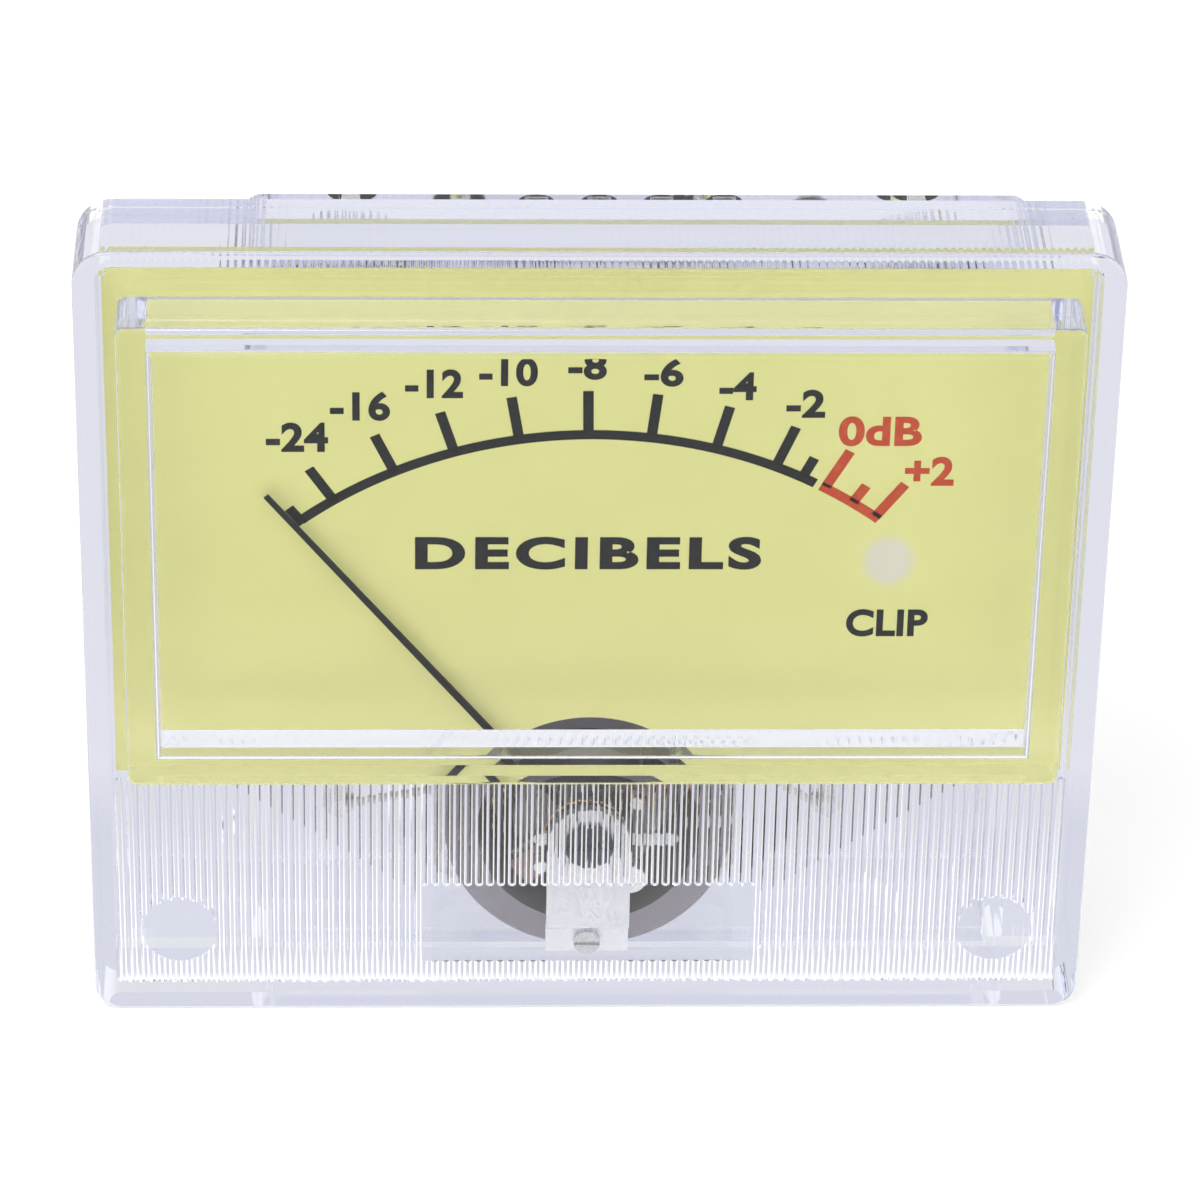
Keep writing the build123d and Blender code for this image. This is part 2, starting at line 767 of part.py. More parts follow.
def make_pointer_stops():
    """Two pins on the yoke ring that end the pointer's swing."""
    half_blade = pointer_root_width / 2
    offset = math.degrees(math.asin((half_blade + stop_radius + stop_clearance) / stop_reach))
    pins = []
    for angle in (rest_angle - offset, rest_angle + swing_angle + offset):
        x = stop_reach * math.sin(math.radians(angle))
        z = pivot_z + stop_reach * math.cos(math.radians(angle))
        pins.append(rod(x, z, pointer_front - pointer_thickness, yoke_step_front, stop_radius))
    return Compound(children=pins)


def make_lamp_board():
    """Circuit board behind the dial, with holes for its screws and the lamp terminals."""
    board = block(board_left, board_right, board_front, board_rear, board_bottom, board_top)
    for x, z in board_places():
        board -= rod(x, z, board_front, board_rear, screw_radius + screw_hole_gap)
    for x, z in lamp_terminal_places():
        board -= rod(x, z, board_front, board_rear, terminal_radius + terminal_hole_gap)
    return board


def make_overload_lamp():
    """Square milky lamp that reaches from the board to the back of the dial."""
    half = overload_width / 2
    low = overload_z - overload_height / 2
    return rounded_slab(overload_x - half, overload_x + half, dial_rear + overload_dial_gap, board_front,
                        low, low + overload_height, overload_corner)


def make_backlight_lamps():
    """Row of low lamps with domed lenses on the board."""
    lamps = []
    first = body_offset_x - (backlight_count - 1) * backlight_spacing / 2
    half = backlight_size / 2
    for index in range(backlight_count):
        x = first + index * backlight_spacing
        base = block(x - half, x + half, board_front - backlight_thickness, board_front,
                     backlight_z - half, backlight_z + half)
        lens = Sphere(backlight_dome, arc_size1=0, align=(Align.CENTER, Align.CENTER, Align.MIN))
        lens = Pos(x, board_front - backlight_thickness, backlight_z) * Rot(90, 0, 0) * lens
        lamps.append(base + lens)
    return Compound(children=lamps)


def terminal_pin(x, z, inner_end):
    """Round pin with a square root in the rear wall and a collar against the wall's inside."""
    pin = rod(x, z, inner_end, terminal_end, terminal_radius)
    pin += terminal_root(x, z, 0)
    pin += rod(x, z, cavity_rear - terminal_collar_thickness, cavity_rear, terminal_collar_radius)
    return chamfer(front_edges(pin, terminal_end), terminal_tip_chamfer)


def make_meter_terminals():
    """Two pins that feed the movement."""
    inner_end = cavity_rear - meter_terminal_inner
    return Compound(children=[terminal_pin(x, z, inner_end) for x, z in meter_terminal_places()])


def make_lamp_terminals():
    """Row of pins soldered through the lamp board."""
    inner_end = board_front - board_thickness / 2
    return Compound(children=[terminal_pin(x, z, inner_end) for x, z in lamp_terminal_places()])


def bend_radii(points):
    """The largest even bend for each inner point of a lead's route."""
    radii = []
    for before, here, after in zip(points, points[1:], points[2:]):
        first = Vector(*here) - Vector(*before)
        second = Vector(*after) - Vector(*here)
        half_turn = math.radians(first.get_angle(second)) / 2
        radii.append(lead_bend_share * min(first.length, second.length) / math.tan(half_turn))
    return radii


def make_lead(points):
    """A round insulated wire through a list of points."""
    path = FilletPolyline(*points, radius=bend_radii(points))
    section = Plane(origin=path.position_at(0), z_dir=path.tangent_at(0)) * Circle(lead_diameter / 2)
    return sweep(section, path=path)


def lead_route(start_x, end_x, bends):
    """Points of a lead from the movement's axis height to a meter terminal."""
    wire = lead_diameter / 2
    start_y = chassis_rear + wire + lead_clearance
    end_y = cavity_rear - terminal_collar_thickness - wire - lead_clearance
    shares = ((0, 0, 0),) + bends + ((1, 1, 1),)
    return [
        (start_x + across * (end_x - start_x),
         start_y + back * (end_y - start_y),
         pivot_z + down * (meter_terminal_z - pivot_z))
        for across, down, back in shares
    ]


def make_movement_leads():
    """One lead from the rear spring anchor and one from the right yoke screw, each to its terminal."""
    terminal_side = meter_terminal_x - terminal_radius
    left = lead_route(anchor_x - anchor_radius, -terminal_side, left_lead_bends)
    right = lead_route(yoke_mean_radius + screw_head_radius, terminal_side, right_lead_bends)
    return Compound(children=[make_lead(left), make_lead(right)])


def export_node(shape, name):
    """Move a piece to the meter's own frame and write it."""
    export_step(Pos(0, -origin_y, 0) * shape, f"parts/{name}.step")


def main():
    os.makedirs("parts", exist_ok=True)
    nodes = {
        "front_cover": make_front_cover(),
        "rear_case": make_rear_case(),
        "dial_plate": make_dial_plate(),
        "yoke_ring": make_yoke_ring(),
        "magnet_core": make_magnet_core(),
        "movement_chassis": make_chassis(),
        "front_bridge": make_front_bridge(),
        "rear_bridge": make_rear_bridge(),
        "bridge_pillars": make_bridge_pillars(),
        "bridge_screws": make_bridge_screws(),
        "yoke_screws": make_yoke_screws(),
        "chassis_screws": make_chassis_screws(),
        "board_screws": make_board_screws(),
        "front_jewel_screw": make_jewel_screw(bridge_front - front_head_thickness, jewel_screw_end,
                                              front_head_radius, front_head_thickness),
        "rear_jewel_screw": make_jewel_screw(rear_screw_rear, rear_screw_front, jewel_screw_radius,
                                             slot_depth),
        "front_jewel": make_jewel(jewel_screw_end, 1),
        "rear_jewel": make_jewel(rear_screw_front, -1),
        "rear_lock_nut": make_rear_lock_nut(),
        "rear_spring_anchor": make_rear_spring_anchor(),
        "pointer_stops": make_pointer_stops(),
        "zero_lever": make_zero_lever(),
        "coil_former": make_coil_former(),
        "coil_winding": make_coil_winding(),
        "pointer": make_pointer(),
        "pointer_hub": make_pointer_hub(),
        "balance_weights": make_balance_weights(),
        "front_pivot": make_front_pivot(),
        "rear_pivot": make_rear_pivot(),
        "front_hairspring": make_hairspring(front_spring_y),
        "rear_hairspring": make_hairspring(rear_spring_y),
        "lamp_board": make_lamp_board(),
        "overload_lamp": make_overload_lamp(),
        "backlight_lamps": make_backlight_lamps(),
        "meter_terminals": make_meter_terminals(),
        "lamp_terminals": make_lamp_terminals(),
        "movement_leads": make_movement_leads(),
    }
    for name, shape in nodes.items():
        export_node(shape, name)
    print(f"origin is {origin_y:.3f} mm behind the flange face")
    print(f"least gap between hairspring turns {spring_gap():.3f} mm")


main()
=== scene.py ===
"""Looks of a clear panel meter for audio levels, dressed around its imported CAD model.

Lengths are metres in the CAD's own frame: X to the right, Y away from the viewer, Z up. Sizes that a
maker gives in millimetres are written as so many MM.
"""

import logging
import math
from dataclasses import dataclass
from enum import Enum
from functools import cache
from typing import Iterable

import bmesh
import bpy
from mathutils import Euler, Matrix, Vector


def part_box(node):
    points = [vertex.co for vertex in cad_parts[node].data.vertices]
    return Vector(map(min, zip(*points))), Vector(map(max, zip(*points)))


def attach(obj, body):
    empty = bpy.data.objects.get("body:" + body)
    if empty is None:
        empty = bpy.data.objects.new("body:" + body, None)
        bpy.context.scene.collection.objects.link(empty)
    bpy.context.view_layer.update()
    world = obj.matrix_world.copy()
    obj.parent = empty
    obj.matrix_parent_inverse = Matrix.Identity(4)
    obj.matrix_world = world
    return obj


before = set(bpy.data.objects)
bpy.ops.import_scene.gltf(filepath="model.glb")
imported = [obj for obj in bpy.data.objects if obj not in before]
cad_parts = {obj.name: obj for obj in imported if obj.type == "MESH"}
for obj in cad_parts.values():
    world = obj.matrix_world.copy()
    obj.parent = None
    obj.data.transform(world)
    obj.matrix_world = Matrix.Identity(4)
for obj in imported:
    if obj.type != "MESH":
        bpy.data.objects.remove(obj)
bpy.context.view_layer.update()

MM = 0.001
LOG = logging.getLogger("meter")

Colour = tuple[float, float, float]
Span = tuple[float, float]
Socket = bpy.types.NodeSocket
Material = bpy.types.Material
Mesh = bmesh.types.BMesh

WHITE: Colour = (1.0, 1.0, 1.0)

# A screen's curve: its full value, and the low straight part and the power that it is made of
SCREEN_FULL = 255
SCREEN_KNEE = 0.04045
SCREEN_SLOPE = 12.92
SCREEN_OFFSET = 0.055
SCREEN_POWER = 2.4

# The values between which most of a noise lies
NOISE_SPAN: Span = (0.3, 0.7)

# Sockets of a Mix node, which have the same names for numbers and for colours
MIX_VALUES, MIX_VALUE_RESULT = (2, 3), 0
MIX_COLOURS, MIX_COLOUR_RESULT = (6, 7), 2

# A ray's diffuse depth is a whole number, so that one above this has met a surface that scatters
SCATTERED_DEPTH = 0.5

# Side of the square and the cube that are stretched to size
UNIT = 1.0


class Body(Enum):
    """The rigid bodies that pieces ride on."""

    CASE = "case"
    COIL = "moving_coil"
    LEVER = "zero_lever"


class Axis(Enum):
    """The parts of a vector."""

    X = "X"
    Y = "Y"
    Z = "Z"


def screen_colour(red: int, green: int, blue: int) -> Colour:
    """Turn a colour as a screen shows it, 0 to 255, into the linear values that shaders take.

    Args:
        red: Red as shown.
        green: Green as shown.
        blue: Blue as shown.

    Returns:
        The same colour in linear light.
    """
    def linear(value: int) -> float:
        """Undo the screen's curve for one channel.

        Args:
            value: The channel as shown.

        Returns:
            The channel in linear light.
        """
        share = value / SCREEN_FULL
        if share <= SCREEN_KNEE:
            return share / SCREEN_SLOPE
        return ((share + SCREEN_OFFSET) / (1 + SCREEN_OFFSET)) ** SCREEN_POWER

    return linear(red), linear(green), linear(blue)


class Tree:
    """A node tree, with the nodes that finishes and surroundings are made of."""

    def __init__(self, tree: bpy.types.NodeTree) -> None:
        """Take over a node tree.

        Args:
            tree: The node tree.
        """
        self.nodes = tree.nodes
        self.links = tree.links
        self.coordinates = self.nodes.new("ShaderNodeTexCoord")
        self.place = self.coordinates.outputs["Object"]

    def feed(self, socket: Socket, value: float | Colour | Socket) -> None:
        """Give an input a number or a colour, or link it to an output.

        Args:
            socket: The input.
            value: What it gets.
        """
        if isinstance(value, Socket):
            self.links.new(value, socket)
        else:
            socket.default_value = (*value, 1) if isinstance(value, tuple) else value

    def part(self, vector: Socket, axis: Axis) -> Socket:
        """Take one part of a vector.

        Args:
            vector: The vector.
            axis: Which part of it.

        Returns:
            The part.
        """
        node = self.nodes.new("ShaderNodeSeparateXYZ")
        self.feed(node.inputs[0], vector)
        return node.outputs[axis.value]

    def noise(self, size: float, detail: float = 3) -> Socket:
        """Add cloudy noise.

        Args:
            size: Rough size of a patch, in metres.
            detail: How many finer layers lie on it.

        Returns:
            The noise's value, about 0 to 1.
        """
        node = self.nodes.new("ShaderNodeTexNoise")
        self.feed(node.inputs["Scale"], 1 / size)
        self.feed(node.inputs["Detail"], detail)
        self.feed(node.inputs["Vector"], self.place)
        return node.outputs["Fac"]

    def span(self, value: Socket, low: float, high: float, ends: Span = NOISE_SPAN,
             soft: bool = False) -> Socket:
        """Map a value from one span to another.

        Args:
            value: What is mapped.
            low: Result at the first end.
            high: Result at the second end.
            ends: Where the value's span starts and ends.
            soft: Whether the result starts and stops gently.

        Returns:
            The mapped value, held at low and high past the ends.
        """
        node = self.nodes.new("ShaderNodeMapRange")
        node.interpolation_type = "SMOOTHSTEP" if soft else "LINEAR"
        settings = {"From Min": ends[0], "From Max": ends[1], "To Min": low, "To Max": high, "Value": value}
        for name, setting in settings.items():
            self.feed(node.inputs[name], setting)
        return node.outputs["Result"]

    def blend(self, share: Socket, first: Colour | Socket, second: Colour | Socket) -> Socket:
        """Mix two colours by a share.

        Args:
            share: 0 gives the first colour, 1 the second.
            first: A colour, or a socket that gives one.
            second: A colour, or a socket that gives one.

        Returns:
            The mixed colour.
        """
        node = self.nodes.new("ShaderNodeMix")
        node.data_type = "RGBA"
        self.feed(node.inputs["Factor"], share)
        for index, value in zip(MIX_COLOURS, (first, second)):
            self.feed(node.inputs[index], value)
        return node.outputs[MIX_COLOUR_RESULT]

    def mix(self, share: Socket, first: float | Socket, second: float | Socket) -> Socket:
        """Mix two values by a share.

        Args:
            share: 0 gives the first value, 1 the second.
            first: A number or a socket.
            second: A number or a socket.

        Returns:
            The mixed value.
        """
        node = self.nodes.new("ShaderNodeMix")
        self.feed(node.inputs["Factor"], share)
        for index, value in zip(MIX_VALUES, (first, second)):
            self.feed(node.inputs[index], value)
        return node.outputs[MIX_VALUE_RESULT]

    def math(self, operation: str, first: Socket, second: float | Socket = 0.0) -> Socket:
        """Add a Math node.

        Args:
            operation: The node's operation.
            first: Its first value.
            second: Its second value, a number or a socket.

        Returns:
            The result.
        """
        node = self.nodes.new("ShaderNodeMath")
        node.operation = operation
        self.feed(node.inputs[0], first)
        self.feed(node.inputs[1], second)
        return node.outputs[0]

    def glow(self, colour: Colour | Socket, strength: Socket) -> Socket:
        """Add a surface that shines by itself.

        Args:
            colour: Its colour.
            strength: How bright it is.

        Returns:
            The surface.
        """
        node = self.nodes.new("ShaderNodeEmission")
        self.feed(node.inputs["Color"], colour)
        self.feed(node.inputs["Strength"], strength)
        return node.outputs[0]


class Shader(Tree):
    """A material's node tree around one Principled shader, read in Object coordinates."""

    def __init__(self, name: str) -> None:
        """Start a material.

        Args:
            name: The material's name.
        """
        self.material = bpy.data.materials.new(name)
        self.material.use_nodes = True
        super().__init__(self.material.node_tree)
        self.surface = self.nodes["Principled BSDF"]

    def set(self, **values: float | Colour) -> None:
        """Set the shader's own sockets, named with underscores for spaces.

        Args:
            **values: A number or a colour for each socket.
        """
        for name, value in values.items():
            self.feed(self.surface.inputs[name.replace("_", " ")], value)

    def join(self, output: Socket, name: str) -> None:
        """Feed one of the shader's sockets from a node."""
        self.links.new(output, self.surface.inputs[name])

    def fill(self, tint: Colour, density: float) -> None:
        """Fill the piece with a clear, tinted body.

        Args:
            tint: Colour that deep plastic takes.
            density: How fast it takes it, per metre.
        """
        body = self.nodes.new("ShaderNodeVolumeAbsorption")
        self.feed(body.inputs["Color"], tint)
        self.feed(body.inputs["Density"], density)
        self.links.new(body.outputs["Volume"], self.nodes["Material Output"].inputs["Volume"])

    def mottle(self, size: float, first: Colour, second: Colour, ends: Span = NOISE_SPAN) -> None:
        """Colour the surface in soft clouds of two colours.

        Args:
            size: Rough size of a cloud, in metres.
            first: One colour.
            second: The other.
            ends: Between which values of the noise one turns into the other.
        """
        clouds = self.span(self.noise(size, detail=5), 0, 1, ends)
        self.join(self.blend(clouds, first, second), "Base Color")

    def relief(self, height: Socket, depth: float, strength: float = 1.0) -> None:
        """Raise the surface by a height map.

        Args:
            height: The map, about 0 to 1.
            depth: What a value of 1 raises, in metres.
            strength: How much of it shows.
        """
        node = self.nodes.new("ShaderNodeBump")
        self.feed(node.inputs["Distance"], depth)
        self.feed(node.inputs["Strength"], strength)
        self.feed(node.inputs["Height"], height)
        self.join(node.outputs["Normal"], "Normal")

    def grain(self, size: float, roughness: Span, depth: float, strength: float = 1.0,
              detail: float = 3) -> None:
        """Give the surface a fine grain, in its roughness and in its relief.

        Args:
            size: Rough size of a grain, in metres.
            roughness: The least and the most roughness.
            depth: How far a grain stands up, in metres.
            strength: How much of that shows.
            detail: How many finer layers lie on the grain.
        """
        grains = self.noise(size, detail)
        self.join(self.span(grains, *roughness), "Roughness")
        self.relief(grains, depth, strength)


@dataclass(frozen=True)
class Finish:
    """A surface finish, which knows how to make its material."""

    name: str

    def material(self) -> Material:
        """Make the finish's material."""
        raise NotImplementedError


@cache
def material_of(finish: Finish) -> Material:
    """The one material of a finish, made when it is first asked for."""
    return finish.material()


@dataclass(frozen=True)
class ClearMoulding(Finish):
    """Clear moulded plastic with a slight ripple from the mould, which shows its tint where it is deep."""

    skin: Colour
    tint: Colour
    tint_density: float = 32.0
    refraction: float = 1.49
    shine: float = 0.1
    haze_size: float = 12 * MM
    haze_roughness: Span = (0.0048, 0.0216)
    ripple_size: float = 7 * MM
    ripple_depth: float = 0.006 * MM
    rib_height: float | None = None
    rib_pitch: float = 0.4 * MM
    rib_depth: float = 0.009 * MM
    rib_reach: float = 0.15 * MM

    def material(self) -> Material:
        """Make the finish's material.

        Returns:
            The material.
        """
        shader = Shader(self.name)
        shader.set(Base_Color=self.skin, IOR=self.refraction, Transmission_Weight=1.0,
                   Specular_IOR_Level=self.shine)
        shader.fill(self.tint, self.tint_density)
        haze = shader.noise(self.haze_size, detail=5)
        shader.join(shader.span(haze, *self.haze_roughness), "Roughness")
        height = shader.math("MULTIPLY", shader.noise(self.ripple_size, detail=1), self.ripple_depth)
        if self.rib_height is not None:
            height = shader.math("ADD", height, self.ribs(shader))
        shader.relief(height, depth=1.0)
        return shader.material

    def ribs(self, shader: Shader) -> Socket:
        """Fine ribs along Y on the face at the given height.

        Args:
            shader: The material's nodes.

        Returns:
            How far they stand up, in metres.
        """
        across = shader.math("MULTIPLY", shader.part(shader.place, Axis.X), math.tau / self.rib_pitch)
        wave = shader.math("MULTIPLY", shader.math("SINE", across), self.rib_depth)
        offset = shader.math("SUBTRACT", shader.part(shader.place, Axis.Z), self.rib_height)
        near = shader.math("LESS_THAN", shader.math("ABSOLUTE", offset), self.rib_reach)
        return shader.math("MULTIPLY", wave, near)


@dataclass(frozen=True)
class DialSheet(Finish):
    """Coloured translucent sheet, with painted light paler at its lower end and a soft patch over the
    overload lamp.
    """

    # pale is painted light at the sheet's lower end, deep is the sheet higher up in painted shade
    pale: Colour
    deep: Colour
    lamp: Colour
    lamp_centre: tuple[float, float]
    lamp_half: tuple[float, float]
    lamp_edge: Span = (0.85 * MM, 1.8 * MM)
    painted_light_fade: Span = (17 * MM, 25 * MM)
    mottle_size: float = 5 * MM
    mottle_share: float = 0.25
    grain_size: float = 0.25 * MM
    grain_depth: float = 0.004 * MM
    roughness: Span = (0.38, 0.55)
    shine: float = 0.2

    def material(self) -> Material:
        """Make the finish's material.

        Returns:
            The material.
        """
        shader = Shader(self.name)
        mottle = shader.span(shader.noise(self.mottle_size, detail=6), 0, self.mottle_share)
        # Painted light and shade: the sheet turns from deep above to pale at its lower end
        low = shader.span(shader.part(shader.place, Axis.Z), 1, 0, self.painted_light_fade)
        sheet = shader.blend(shader.math("ADD", mottle, low), self.deep, self.pale)
        shader.join(shader.blend(self.lamp_share(shader), sheet, self.lamp), "Base Color")
        shader.set(Specular_IOR_Level=self.shine)
        shader.grain(self.grain_size, self.roughness, self.grain_depth, detail=2)
        return shader.material

    def lamp_share(self, shader: Shader) -> Socket:
        """How much of the lamp shows.

        Args:
            shader: The material's nodes.

        Returns:
            1 over the lamp, falling off softly round it.
        """
        squares = []
        for axis, centre, half in zip((Axis.X, Axis.Z), self.lamp_centre, self.lamp_half):
            offset = shader.math("SUBTRACT", shader.part(shader.place, axis), centre)
            beyond = shader.math("SUBTRACT", shader.math("ABSOLUTE", offset), half)
            beyond = shader.math("MAXIMUM", beyond, 0.0)
            squares.append(shader.math("MULTIPLY", beyond, beyond))
        distance = shader.math("SQRT", shader.math("ADD", *squares))
        return shader.span(distance, 1.0, 0.0, self.lamp_edge, soft=True)


@dataclass(frozen=True)
class Ink(Finish):
    """Matt screen-printed ink, a little uneven where it lies thin."""

    colour: Colour
    thin: Colour
    patch_size: float = 0.35 * MM
    patch_ends: Span = (0.45, 0.8)
    roughness: Span = (0.42, 0.6)
    shine: float = 0.12

    def material(self) -> Material:
        """Make the finish's material.

        Returns:
            The material.
        """
        shader = Shader(self.name)
        thinness = shader.span(shader.noise(self.patch_size, detail=4), 0, 1, self.patch_ends)
        shader.join(shader.blend(thinness, self.colour, self.thin), "Base Color")
        shader.join(shader.span(thinness, *self.roughness, ends=(0, 1)), "Roughness")
        shader.set(Specular_IOR_Level=self.shine)
        return shader.material


@dataclass(frozen=True)
class Metal(Finish):
    """Bare or plated metal with a fine grain and a slight stain."""

    colour: Colour
    stain: Colour
    roughness: float = 0.28
    stain_size: float = 1.6 * MM
    stain_ends: Span = (0.35, 0.75)
    grain_size: float = 0.12 * MM
    grain_shares: Span = (0.7, 1.4)
    grain_depth: float = 0.003 * MM
    grain_strength: float = 0.6

    def material(self) -> Material:
        """Make the finish's material.

        Returns:
            The material.
        """
        shader = Shader(self.name)
        shader.set(Metallic=1.0)
        shader.mottle(self.stain_size, self.colour, self.stain, self.stain_ends)
        least, most = self.grain_shares
        shader.grain(self.grain_size, (self.roughness * least, self.roughness * most),
                     self.grain_depth, self.grain_strength)
        return shader.material


@dataclass(frozen=True)
class Dull(Finish):
    """What the opaque finishes other than metal share: faint mottling and a fine grain."""

    first: Colour
    second: Colour
    roughness: float = 0.45
    mottle_size: float = 2.5 * MM
    grain_size: float = 0.2 * MM
    grain_shares: Span = (0.8, 1.2)
    grain_depth: float = 0.004 * MM

    def add_grain(self, shader: Shader) -> None:
        """Give the material its grain."""
        least, most = self.grain_shares
        shader.grain(self.grain_size, (self.roughness * least, self.roughness * most), self.grain_depth)


@dataclass(frozen=True)
class Solid(Dull):
    """Opaque plastic, paint, stone or laminate, mottled in two colours."""

    shine: float = 0.5

    def material(self) -> Material:
        """Make the finish's material.

        Returns:
            The material.
        """
        shader = Shader(self.name)
        shader.mottle(self.mottle_size, self.first, self.second)
        shader.set(Specular_IOR_Level=self.shine)
        self.add_grain(shader)
        return shader.material


@dataclass(frozen=True)
class ShadedIron(Dull):
    """Dull coated iron with painted shade, darkening from the first colour below to the second above."""

    # Heights over which painted shade darkens the iron from the first colour to the second
    painted_shade_rise: Span = (0.0, 1.0)
    mottle_share: float = 0.12

    def material(self) -> Material:
        """Make the finish's material.

        Returns:
            The material.
        """
        shader = Shader(self.name)
        # Painted shade: darker towards the top
        painted_shade_rise = shader.span(shader.part(shader.place, Axis.Z), 0, 1, self.painted_shade_rise)
        mottle = shader.span(shader.noise(self.mottle_size, detail=5), -self.mottle_share, self.mottle_share)
        shader.join(shader.blend(shader.math("ADD", painted_shade_rise, mottle), self.first, self.second), "Base Color")
        self.add_grain(shader)
        return shader.material


CLEAR = ClearMoulding("clear_moulding", (0.968, 0.972, 0.998), (0.79, 0.80, 0.91), rib_height=47.0 * MM)
CLEAR_BACK = ClearMoulding("clear_moulding_back", (0.968, 0.972, 0.998), (0.79, 0.80, 0.91),
                           tint_density=14.0, ripple_size=9 * MM)
BLACK_INK = Ink("black_ink", screen_colour(22, 24, 28), screen_colour(40, 42, 44))
RED_INK = Ink("red_ink", screen_colour(206, 70, 30), screen_colour(214, 94, 54))
POINTER_BLACK = Solid("pointer_black", screen_colour(24, 25, 29), screen_colour(36, 37, 40), shine=0.15)
# The yoke's two colours are painted shade: lighter below, darker above 13 to 16.5 mm where the dial shades it
YOKE_IRON = ShadedIron("yoke_iron", screen_colour(148, 142, 152), screen_colour(92, 88, 97),
                       roughness=0.5, painted_shade_rise=(13.0 * MM, 16.5 * MM))
MAGNET_GREY = Solid("magnet_grey", screen_colour(146, 145, 152), screen_colour(126, 125, 132), roughness=0.4)
CHASSIS_WHITE = Solid("chassis_white", screen_colour(240, 240, 244), screen_colour(230, 230, 236))
BOARD_WHITE = Solid("board_white", screen_colour(232, 232, 230), screen_colour(222, 222, 218), roughness=0.35)
LAMP_MILKY = Solid("lamp_milky", screen_colour(232, 230, 220), screen_colour(222, 220, 208), roughness=0.3)
LENS_YELLOW = Solid("lens_yellow", screen_colour(236, 222, 140), screen_colour(228, 212, 120), roughness=0.15)
SLEEVE_PALE = Solid("sleeve_pale", screen_colour(238, 238, 242), screen_colour(226, 226, 232), roughness=0.5)
STONE = Solid("jewel_stone", screen_colour(190, 40, 80), screen_colour(160, 24, 60), roughness=0.1)
STRAP_PLATE = Metal("strap_plate", (0.92, 0.915, 0.97), (0.85, 0.845, 0.9), roughness=0.42)
STEEL = Metal("screw_steel", (0.62, 0.62, 0.63), (0.5, 0.5, 0.52), roughness=0.25)
ZINC = Metal("zinc_plate", (0.93, 0.93, 0.94), (0.86, 0.86, 0.88), roughness=0.35)
DARK_STEEL = Metal("dark_steel", (0.07, 0.09, 0.12), (0.03, 0.04, 0.06), roughness=0.4)
ALUMINIUM = Metal("aluminium", (0.8, 0.81, 0.82), (0.7, 0.71, 0.73), roughness=0.35)
BRASS = Metal("brass", (0.78, 0.57, 0.25), (0.62, 0.43, 0.17), roughness=0.3)
BRONZE = Metal("spring_bronze", (0.72, 0.45, 0.24), (0.58, 0.33, 0.16), roughness=0.22)
COPPER = Metal("copper_wire", (0.32, 0.22, 0.2), (0.22, 0.15, 0.14), roughness=0.4)
TIN = Metal("tinned_pin", (0.86, 0.86, 0.87), (0.76, 0.76, 0.77), roughness=0.3)


def dress(body: Body, finish: Finish, nodes: Iterable[str]) -> None:
    """Give CAD nodes a finish.

    Args:
        body: The body that carries them.
        finish: The finish.
        nodes: Names of the nodes that get it.
    """
    for node in nodes:
        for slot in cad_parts[node].material_slots:
            slot.material = material_of(finish)
        LOG.info("dressed %s on %s in %s", node, body.value, finish.name)


def make_piece(name: str, shape: Mesh, finish: Finish, body: Body) -> bpy.types.Object:
    """Turn a finished shape into a piece that rides on a body.

    Args:
        name: The piece's name.
        shape: Its mesh in the CAD's frame, which is freed.
        finish: Its finish.
        body: The body that carries it.

    Returns:
        The new object.
    """
    mesh = bpy.data.meshes.new(name)
    shape.to_mesh(mesh)
    shape.free()
    mesh.materials.append(material_of(finish))
    piece = bpy.data.objects.new(name, mesh)
    bpy.context.scene.collection.objects.link(piece)
    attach(piece, body.value)
    LOG.info("made %s on %s with %d faces", name, body.value, len(mesh.polygons))
    return piece


@dataclass
class Housing:
    """The clear front cover and rear case."""

    body: Body = Body.CASE

    def build(self) -> None:
        """Dress both mouldings."""
        dress(self.body, CLEAR, ["front_cover"])
        dress(self.body, CLEAR_BACK, ["rear_case"])


@dataclass(frozen=True)
class Tick:
    """One scale mark, from its inner to its outer end on the dial, both as X and Z in millimetres."""

    inner: tuple[float, float]
    outer: tuple[float, float]


@dataclass(frozen=True)
class Word:
    """One printed word or number, with its centre, width and height of capitals in millimetres.

    The weight is how much its strokes are thickened, as a share of the letters' size, and the spacing is
    how far apart the letters stand, as a share of their usual step.
    """

    name: str
    text: str
    x: float
    z: float
    width: float
    height: float
    ink: Ink = BLACK_INK
    weight: float = 0.034
    spacing: float = 1.04


